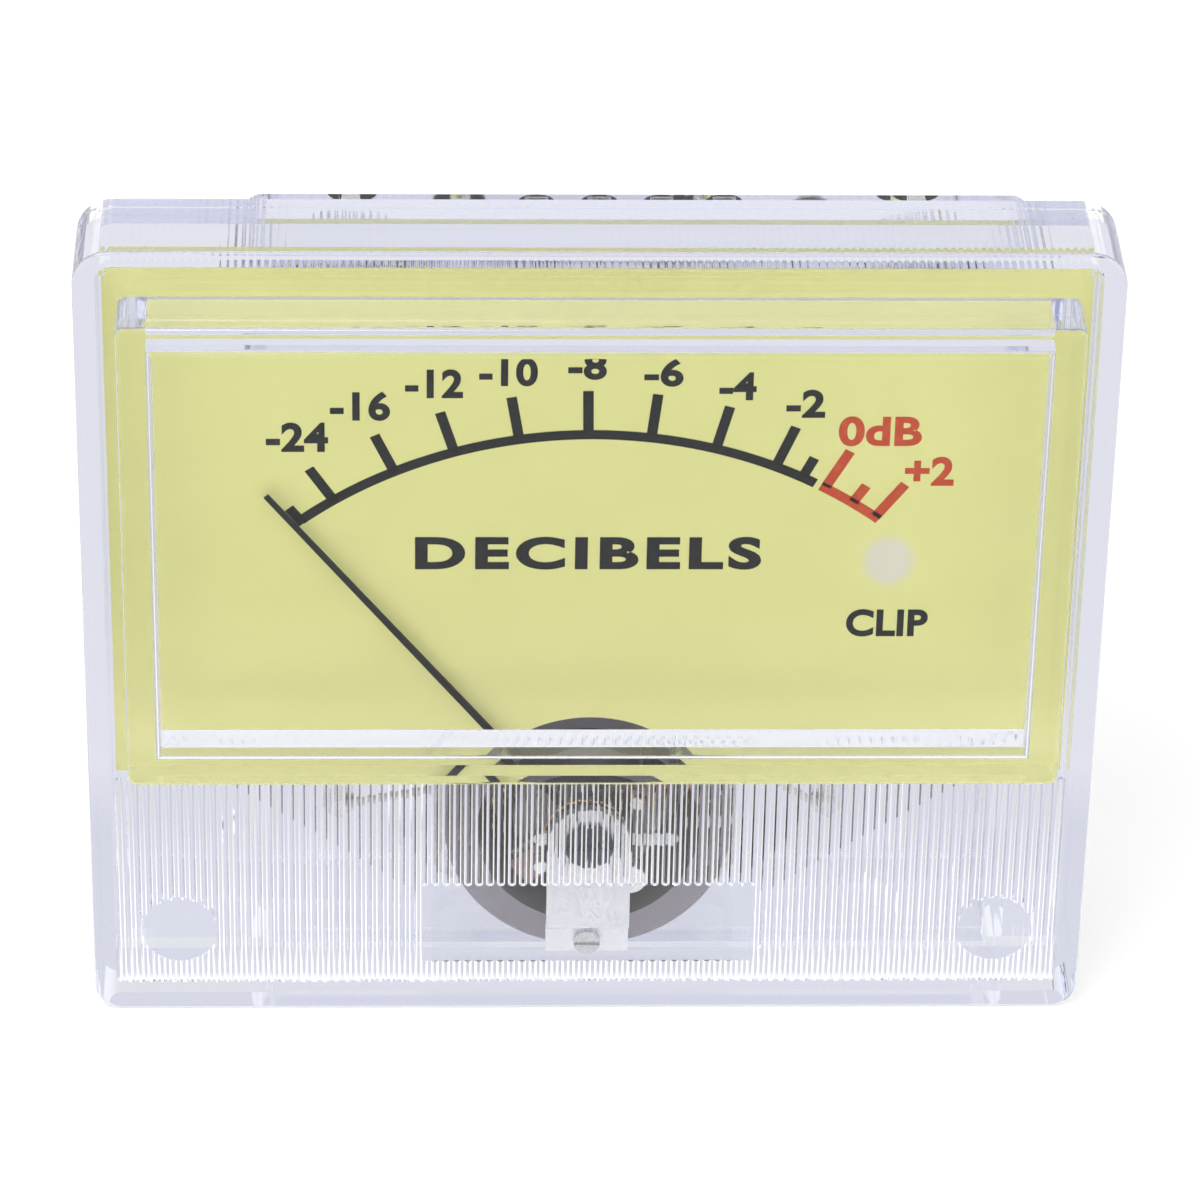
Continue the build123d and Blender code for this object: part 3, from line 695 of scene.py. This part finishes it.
BLACK_TICKS = (
    Tick((-15.68, 29.98), (-16.44, 30.93)),
    Tick((-13.95, 31.30), (-15.34, 33.39)),
    Tick((-10.76, 33.18), (-11.83, 35.46)),
    Tick((-7.58, 34.47), (-8.34, 36.88)),
    Tick((-4.12, 35.33), (-4.54, 37.82)),
    Tick((-0.41, 35.68), (-0.45, 38.21)),
    Tick((2.98, 35.50), (3.27, 38.01)),
    Tick((6.48, 34.81), (7.12, 37.26)),
    Tick((9.73, 33.67), (10.69, 36.00)),
    Tick((11.19, 32.98), (11.74, 34.09)),
)
RED_TICKS = (
    Tick((12.42, 32.31), (13.65, 34.51)),
    Tick((13.94, 31.35), (14.60, 32.36)),
    Tick((15.18, 30.44), (16.69, 32.45)),
)
WORDS = (
    Word("number_24_below", "-24", -15.97, 35.35, 3.32, 1.80),
    Word("number_16_below", "-16", -12.60, 37.27, 3.20, 1.80),
    Word("number_12_below", "-12", -8.66, 38.65, 3.08, 1.75),
    Word("number_10_below", "-10", -4.71, 39.36, 3.12, 1.72),
    Word("number_8_below", "-8", -0.52, 39.75, 2.05, 1.70),
    Word("number_6_below", "-6", 3.55, 39.34, 2.09, 1.70),
    Word("number_4_below", "-4", 7.51, 38.52, 1.98, 1.70),
    Word("number_2_below", "-2", 11.17, 37.45, 2.08, 1.72),
    Word("number_0", "0dB", 15.22, 35.75, 4.47, 1.85, RED_INK),
    Word("number_2_above", "+2", 17.97, 33.27, 2.65, 1.80, RED_INK),
    Word("scale_word", "DECIBELS", -0.29, 28.10, 18.75, 2.07, weight=0.04, spacing=1.2),
    Word("lamp_word", "CLIP", 16.08, 23.65, 4.46, 1.75),
)


@dataclass
class DialFace:
    """The dial sheet and everything printed on it."""

    body: Body = Body.CASE
    ink_slot: str = "pointer_black"
    ink_depth: float = 0.02 * MM
    line_width: float = 0.56 * MM
    arc_centre: tuple[float, float] = (-0.18 * MM, 10.02 * MM)
    arc_inner: float = 25.23 * MM
    arc_steps: int = 96
    black_start: tuple[float, float] = (-15.68 * MM, 29.98 * MM)
    black_end: tuple[float, float] = (11.89 * MM, 32.61 * MM)
    red_start: tuple[float, float] = (12.2 * MM, 32.45 * MM)
    red_end: tuple[float, float] = (15.4 * MM, 30.3 * MM)
    lamp_inset: float = 1.4 * MM
    drawn_depth: float = 0.5
    curve_steps: int = 6
    weld_distance: float = 1e-5

    def __post_init__(self) -> None:
        """Read where the dial's front and the lamp lie."""
        low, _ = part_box("dial_plate")
        self.front = low.y
        lamp_low, lamp_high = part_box("overload_lamp")
        self.lamp_centre = ((lamp_low.x + lamp_high.x) / 2, (lamp_low.z + lamp_high.z) / 2)
        self.lamp_half = ((lamp_high.x - lamp_low.x) / 2, (lamp_high.z - lamp_low.z) / 2)

    def build(self) -> None:
        """Dress the sheet and print the scale and the words."""
        wide, high = self.lamp_half
        # The first two colours, pale below and deep above, are painted light and shade on the sheet
        sheet = DialSheet("dial_sheet", screen_colour(252, 250, 168), screen_colour(237, 237, 152),
                          screen_colour(236, 232, 208), self.lamp_centre,
                          (wide - self.lamp_inset, high - self.lamp_inset))
        dress(self.body, sheet, ["dial_plate"])
        self.print_arc("black_scale", BLACK_TICKS, self.black_start, self.black_end, BLACK_INK)
        self.print_arc("red_scale", RED_TICKS, self.red_start, self.red_end, RED_INK)
        for word in WORDS:
            self.print_word(word)

    def arc_angle(self, point: tuple[float, float]) -> float:
        """Angle of a dial point about the arc's centre, clockwise from straight up."""
        return math.atan2(point[0] - self.arc_centre[0], point[1] - self.arc_centre[1])

    def print_arc(self, name: str, ticks: Iterable[Tick], start_point: tuple[float, float],
                  end_point: tuple[float, float], ink: Ink) -> None:
        """Print one arc with its marks.

        Args:
            name: The piece's name.
            ticks: The marks.
            start_point: A dial point in whose direction the arc starts.
            end_point: A dial point in whose direction it ends.
            ink: The ink.
        """
        start, end = self.arc_angle(start_point), self.arc_angle(end_point)
        shape = bmesh.new()
        half_depth = self.ink_depth / 2
        centre = Vector((self.arc_centre[0], self.front - half_depth, self.arc_centre[1]))
        ring = centre + Vector((0, 0, self.arc_inner + self.line_width / 2))
        placed = Matrix.Rotation(start, 4, "Y")
        placed = Matrix.Translation(centre) @ placed @ Matrix.Translation(ring - centre)
        corners = bmesh.ops.create_grid(shape, x_segments=1, y_segments=1, size=UNIT / 2)["verts"]
        bmesh.ops.transform(shape, verts=corners,
                            matrix=placed @ Matrix.Rotation(math.pi / 2, 4, "Y")
                            @ Matrix.Diagonal((self.line_width, self.ink_depth, 1, 1)))
        bmesh.ops.spin(shape, geom=shape.verts[:] + shape.edges[:] + shape.faces[:], cent=centre,
                       axis=(0, 1, 0), angle=end - start, steps=self.arc_steps)
        for tick in ticks:
            self.add_tick(shape, tick)
        bmesh.ops.recalc_face_normals(shape, faces=shape.faces[:])
        make_piece(name, shape, ink, self.body)

    def add_tick(self, shape: Mesh, tick: Tick) -> None:
        """Add one mark as a thin bar that starts inside the arc's line.

        Args:
            shape: The arc's mesh.
            tick: The mark.
        """
        inner, outer = Vector(tick.inner) * MM, Vector(tick.outer) * MM
        along = outer - inner
        centre = (inner + outer) / 2
        turn = math.atan2(along.x, along.y)
        place = Matrix.Translation((centre.x, self.front - self.ink_depth / 2, centre.y))
        size = Matrix.Diagonal((self.line_width, self.ink_depth, along.length, 1))
        bmesh.ops.create_cube(shape, size=UNIT, matrix=place @ Matrix.Rotation(turn, 4, "Y") @ size)

    def draw_letters(self, word: Word) -> Mesh:
        """Draw a word flat, in letters of size 1.

        Args:
            word: The word.

        Returns:
            Its mesh.
        """
        curve = bpy.data.curves.new(word.name, "FONT")
        curve.body = word.text
        curve.offset = word.weight
        curve.extrude = self.drawn_depth
        curve.resolution_u = self.curve_steps
        curve.space_character = word.spacing
        drawn = bpy.data.objects.new(word.name, curve)
        bpy.context.scene.collection.objects.link(drawn)
        bpy.context.view_layer.update()
        flat = bpy.data.meshes.new_from_object(drawn)
        bpy.data.objects.remove(drawn)
        shape = bmesh.new()
        shape.from_mesh(flat)
        bpy.data.meshes.remove(flat)
        bmesh.ops.remove_doubles(shape, verts=shape.verts[:], dist=self.weld_distance)
        return shape

    def print_word(self, word: Word) -> None:
        """Print one word on the dial, fitted to its width and height.

        Args:
            word: The word.
        """
        shape = self.draw_letters(word)
        places = [vert.co for vert in shape.verts]
        low = Vector(min(place[axis] for place in places) for axis in range(3))
        high = Vector(max(place[axis] for place in places) for axis in range(3))
        size = high - low
        middle = (low + high) / 2
        scale = Matrix.Diagonal((word.width * MM / size.x, word.height * MM / size.y,
                                 self.ink_depth / size.z, 1))
        place = Matrix.Translation((word.x * MM, self.front - self.ink_depth / 2, word.z * MM))
        upright = Matrix.Rotation(math.pi / 2, 4, "X")
        bmesh.ops.transform(shape, verts=shape.verts[:],
                            matrix=place @ upright @ scale @ Matrix.Translation(-middle))
        make_piece(word.name, shape, word.ink, self.body)


@dataclass
class Movement:
    """The fixed parts of the moving-coil movement, and the zero lever on its front bearing."""

    body: Body = Body.CASE
    lever_body: Body = Body.LEVER

    def build(self) -> None:
        """Dress the movement's fixed parts and the zero lever."""
        dress(self.body, YOKE_IRON, ["yoke_ring"])
        dress(self.body, MAGNET_GREY, ["magnet_core"])
        dress(self.body, CHASSIS_WHITE, ["movement_chassis"])
        dress(self.body, STRAP_PLATE, ["front_bridge", "rear_bridge"])
        dress(self.body, BRASS, ["bridge_pillars", "rear_lock_nut", "rear_jewel_screw"])
        dress(self.body, ZINC, ["chassis_screws", "board_screws"])
        dress(self.body, STEEL, ["bridge_screws", "yoke_screws", "pointer_stops"])
        dress(self.body, DARK_STEEL, ["front_jewel_screw"])
        dress(self.body, STONE, ["front_jewel", "rear_jewel"])
        dress(self.body, TIN, ["rear_spring_anchor"])
        dress(self.body, SLEEVE_PALE, ["movement_leads"])
        dress(self.lever_body, STEEL, ["zero_lever"])


@dataclass
class MovingCoil:
    """The coil, the pointer and what turns with them."""

    body: Body = Body.COIL

    def build(self) -> None:
        """Dress the moving parts."""
        dress(self.body, ALUMINIUM, ["coil_former", "pointer_hub"])
        dress(self.body, COPPER, ["coil_winding"])
        dress(self.body, POINTER_BLACK, ["pointer"])
        dress(self.body, TIN, ["balance_weights"])
        dress(self.body, STEEL, ["front_pivot", "rear_pivot"])
        dress(self.body, BRONZE, ["front_hairspring", "rear_hairspring"])


@dataclass
class LampBoard:
    """The circuit board behind the dial with its lamps, and both rows of terminals."""

    body: Body = Body.CASE

    def build(self) -> None:
        """Dress the board, the lamps and the terminals."""
        dress(self.body, BOARD_WHITE, ["lamp_board"])
        dress(self.body, LAMP_MILKY, ["overload_lamp"])
        dress(self.body, LENS_YELLOW, ["backlight_lamps"])
        dress(self.body, TIN, ["meter_terminals", "lamp_terminals"])


class RayKinds:
    """Values that are 1 for one kind of ray and 0 for the others.

    Attributes:
        camera: Rays straight from the camera.
        bent: Rays that plastic or metal has bent or mirrored.
        scattered: Rays that have met a matt surface on their way.
        view: Bent rays that haven't, so what the camera sees in and through the plastic.
    """

    def __init__(self, tree: Tree) -> None:
        """Add the values to a node tree.

        Args:
            tree: The node tree.
        """
        path = tree.nodes.new("ShaderNodeLightPath")
        self.camera = path.outputs["Is Camera Ray"]
        self.bent = tree.math("MAXIMUM", path.outputs["Is Glossy Ray"], path.outputs["Is Transmission Ray"])
        self.scattered = tree.math("GREATER_THAN", path.outputs["Diffuse Depth"], SCATTERED_DEPTH)
        self.view = tree.math("GREATER_THAN", self.bent, self.scattered)


@dataclass
class Camera:
    """The camera, placed as in the photograph."""

    place: Vector = Vector((-10.0, -272.25, 192.7)) * MM
    turn: tuple[float, float, float] = (58.0, -1.0, -1.595)
    lens: float = 174.5
    sensor: float = 36.0
    nearest: float = 0.01

    def build(self) -> None:
        """Place the camera."""
        data = bpy.data.cameras.new("camera")
        data.lens = self.lens
        data.sensor_width = self.sensor
        data.clip_start = self.nearest
        camera = bpy.data.objects.new("camera", data)
        camera.location = self.place
        camera.rotation_euler = Euler([math.radians(angle) for angle in self.turn])
        bpy.context.scene.collection.objects.link(camera)
        bpy.context.scene.camera = camera


@dataclass
class Lamp:
    """A square lamp that faces the object."""

    name: str
    place: Vector
    side: float
    power: float
    aim: Vector = Vector((0, 0, 0.024))

    def build(self) -> None:
        """Hang the lamp."""
        data = bpy.data.lights.new(self.name, "AREA")
        data.size = self.side
        data.energy = self.power
        lamp = bpy.data.objects.new(self.name, data)
        lamp.location = self.place
        lamp.rotation_mode = "QUATERNION"
        lamp.rotation_quaternion = (self.aim - self.place).to_track_quat("-Z", "Y")
        bpy.context.scene.collection.objects.link(lamp)


@dataclass
class Room:
    """Soft light all round, which the camera sees as white and the plastic shows darker."""

    light: float = 0.55
    inside: float = 0.84
    front: float = 1.38
    front_ends: Span = (-0.9, -0.2)
    top: float = 0.79
    top_ends: Span = (0.3, 0.6)
    view_hue: Colour = (0.955, 0.965, 1.0)

    def build(self) -> None:
        """Surround the object with the room."""
        world = bpy.data.worlds.new("room")
        world.use_nodes = True
        tree = Tree(world.node_tree)
        rays = RayKinds(tree)
        direction = tree.coordinates.outputs["Generated"]
        above = tree.span(tree.part(direction, Axis.Z), 1.0, self.top, self.top_ends)
        before = tree.span(tree.part(direction, Axis.Y), self.front, 1.0, self.front_ends)
        through = tree.mix(rays.scattered, tree.math("MULTIPLY", above, before), self.inside)
        strength = tree.mix(rays.bent, self.light, through)
        background = tree.nodes["Background"]
        tree.feed(background.inputs["Color"], tree.blend(rays.view, WHITE, self.view_hue))
        tree.feed(background.inputs["Strength"], tree.mix(rays.camera, strength, 1.0))
        bpy.context.scene.world = world


@dataclass
class Floor:
    """A pale floor that reads white, keeps the object's shadow and shows through the plastic.

    Its glow grows with the distance from the object. Through the plastic its colour and brightness go by
    how far away a place lies along Y, with a painted shadow under the object.
    """

    size: float = 3.0
    drop: float = 0.05 * MM
    albedo: float = 0.8
    bounce: float = 1.4
    glow: float = 0.45
    far_glow: float = 0.65
    glow_ends: Span = (0.12, 0.6)
    under: Colour = (1.0, 1.0, 0.95)
    # Painted shadow: through the plastic the floor turns darker from just before the object's front backwards
    painted_shadow: Colour = (0.575, 0.585, 0.65)
    painted_shadow_ends: Span = (-5.0 * MM, -4.3 * MM)
    far: Colour = (0.685, 0.69, 0.735)
    far_ends: Span = (13 * MM, 20 * MM)
    strength: float = 1.2
    front_strength: float = 0.42
    front_ends: Span = (-35 * MM, -15 * MM)
    near_camera_ends: Span = (-160 * MM, -110 * MM)

    def build(self) -> None:
        """Lay the floor."""
        shape = bmesh.new()
        bmesh.ops.create_grid(shape, x_segments=1, y_segments=1, size=self.size / 2,
                              matrix=Matrix.Translation((0, 0, -self.drop)))
        mesh = bpy.data.meshes.new("floor")
        shape.to_mesh(mesh)
        shape.free()
        mesh.materials.append(self.material())
        floor = bpy.data.objects.new("floor", mesh)
        bpy.context.scene.collection.objects.link(floor)

    def material(self) -> Material:
        """Make the floor's material.

        Returns:
            The material.
        """
        material = bpy.data.materials.new("pale_floor")
        material.use_nodes = True
        material.node_tree.nodes.clear()
        tree = Tree(material.node_tree)
        rays = RayKinds(tree)
        surface = tree.nodes.new("ShaderNodeMixShader")
        tree.feed(surface.inputs["Fac"], rays.view)
        tree.feed(surface.inputs[1], self.lit(tree, rays))
        tree.feed(surface.inputs[2], self.view(tree))
        output = tree.nodes.new("ShaderNodeOutputMaterial")
        tree.feed(output.inputs["Surface"], surface.outputs[0])
        return material

    def lit(self, tree: Tree, rays: RayKinds) -> Socket:
        """The floor as it is seen directly and as it lights the object.

        Args:
            tree: The material's nodes.
            rays: Its kinds of rays.

        Returns:
            The surface.
        """
        matt = tree.nodes.new("ShaderNodeBsdfDiffuse")
        tree.feed(matt.inputs["Color"], (self.albedo,) * 3)
        bounced = tree.math("MULTIPLY", rays.bent, self.bounce)
        distance = tree.nodes.new("ShaderNodeVectorMath")
        distance.operation = "LENGTH"
        tree.feed(distance.inputs[0], tree.place)
        shown = tree.span(distance.outputs["Value"], self.glow, self.far_glow, self.glow_ends)
        both = tree.nodes.new("ShaderNodeAddShader")
        tree.feed(both.inputs[0], matt.outputs[0])
        tree.feed(both.inputs[1], tree.glow(WHITE, tree.mix(rays.camera, bounced, shown)))
        return both.outputs[0]

    def view(self, tree: Tree) -> Socket:
        """The floor as the plastic shows it.

        Args:
            tree: The material's nodes.

        Returns:
            The surface.
        """
        away = tree.part(tree.place, Axis.Y)
        front = tree.math("MAXIMUM", tree.span(away, self.front_strength, 1.0, self.front_ends),
                          tree.span(away, 1.0, 0.0, self.near_camera_ends))
        # Painted shadow under the object, in place of the shadow that the lamps would cast
        near = tree.blend(tree.span(away, 0, 1, self.painted_shadow_ends), self.under, self.painted_shadow)
        colour = tree.blend(tree.span(away, 0, 1, self.far_ends), near, self.far)
        return tree.glow(colour, tree.math("MULTIPLY", front, self.strength))


@dataclass
class Studio:
    """Camera, lamps, surroundings and floor, with enough bounces for light inside the clear plastic."""

    clear_bounces: int = 96
    diffuse_bounces: int = 5

    def build(self) -> None:
        """Set up the whole studio."""
        scene = bpy.context.scene
        scene.view_settings.view_transform = "Standard"
        scene.cycles.max_bounces = self.clear_bounces
        scene.cycles.transmission_bounces = self.clear_bounces
        scene.cycles.glossy_bounces = self.clear_bounces
        scene.cycles.diffuse_bounces = self.diffuse_bounces
        for piece in (Camera(), Room(), Floor(),
                      Lamp("key_lamp", Vector((-0.35, -0.45, 0.75)), side=0.6, power=3.2),
                      Lamp("fill_lamp", Vector((0.55, -0.3, 0.4)), side=0.5, power=1.0)):
            piece.build()


def main() -> None:
    """Build the studio and every sub-assembly."""
    logging.basicConfig(level=logging.INFO, format="%(name)s: %(message)s")
    for part in (Studio(), Housing(), DialFace(), Movement(), MovingCoil(), LampBoard()):
        part.build()


if __name__ == "__main__":
    main()
